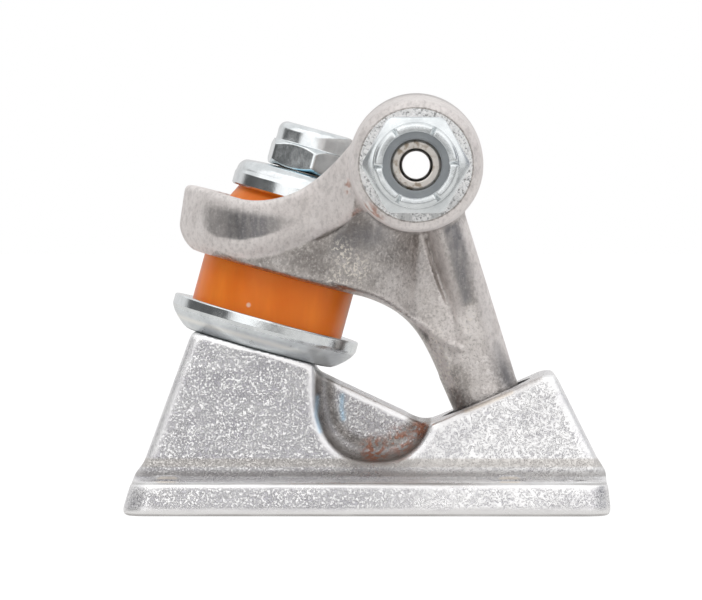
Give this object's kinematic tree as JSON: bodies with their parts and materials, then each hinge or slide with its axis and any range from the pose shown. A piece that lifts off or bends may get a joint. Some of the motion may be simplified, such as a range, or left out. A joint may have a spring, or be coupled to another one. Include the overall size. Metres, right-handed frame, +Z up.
{
  "type": "skateboard truck",
  "caption": "Skateboard truck: drilled baseplate, steering hanger on urethane bushings round a tilted kingpin, and a hollow axle with lock nuts for the wheels.",
  "frame": {"origin": "middle of the baseplate's mounting face, under the truck", "axes": "+X from the kingpin towards the pivot, +Y along the axle, +Z up from the mounting face"},
  "size_m": [0.0768, 0.2068, 0.0663],
  "materials": {
    "forged_aluminium": "bright, shot-blasted sides with smooth rounded edges",
    "cast_aluminium": "satin casting skin with fine grain, warm grey",
    "zinc_plate": "bright zinc plating, slightly blue",
    "steel": "plain steel, lightly oiled",
    "urethane": "glossy translucent orange urethane",
    "nylon": "smooth grey nylon",
    "pivot_urethane": "dark matt urethane"
  },
  "bodies": {
    "base": {"baseplate": "forged_aluminium", "pivot_cup": "pivot_urethane", "kingpin": "steel", "lower_cup_washer": "zinc_plate", "lower_bushing": "urethane", "upper_bushing": "urethane", "upper_cup_washer": "zinc_plate", "kingpin_nut": "zinc_plate", "kingpin_nut_insert": "nylon"},
    "hanger": {"hanger": "cast_aluminium", "axle": "steel", "axle_nut_left": "zinc_plate", "axle_nut_insert_left": "nylon", "axle_nut_right": "zinc_plate", "axle_nut_insert_right": "nylon"},
    "inner_speed_washer_left": {"inner_speed_washer_left": "zinc_plate"},
    "outer_speed_washer_left": {"outer_speed_washer_left": "zinc_plate"},
    "inner_speed_washer_right": {"inner_speed_washer_right": "zinc_plate"},
    "outer_speed_washer_right": {"outer_speed_washer_right": "zinc_plate"}
  },
  "joints": [
    {"name": "hanger_steer", "type": "hinge", "parent": "base", "child": "hanger", "pos_m": [0.0214, 0, 0.01225], "axis": [-0.7498, 0, 0.6616], "range_deg": [-15, 15], "stiffness_Nm_per_rad": 18, "deforming": ["lower_bushing", "upper_bushing"]},
    {"name": "inner_washer_left_slide", "type": "slide", "parent": "hanger", "child": "inner_speed_washer_left", "axis": [0, -1, 0], "range_m": [0, 0.0112]},
    {"name": "outer_washer_left_slide", "type": "slide", "parent": "hanger", "child": "outer_speed_washer_left", "axis": [0, 1, 0], "range_m": [0, 0.0112]},
    {"name": "inner_washer_right_slide", "type": "slide", "parent": "hanger", "child": "inner_speed_washer_right", "axis": [0, 1, 0], "range_m": [0, 0.0112]},
    {"name": "outer_washer_right_slide", "type": "slide", "parent": "hanger", "child": "outer_speed_washer_right", "axis": [0, -1, 0], "range_m": [0, 0.0112]}
  ]
}
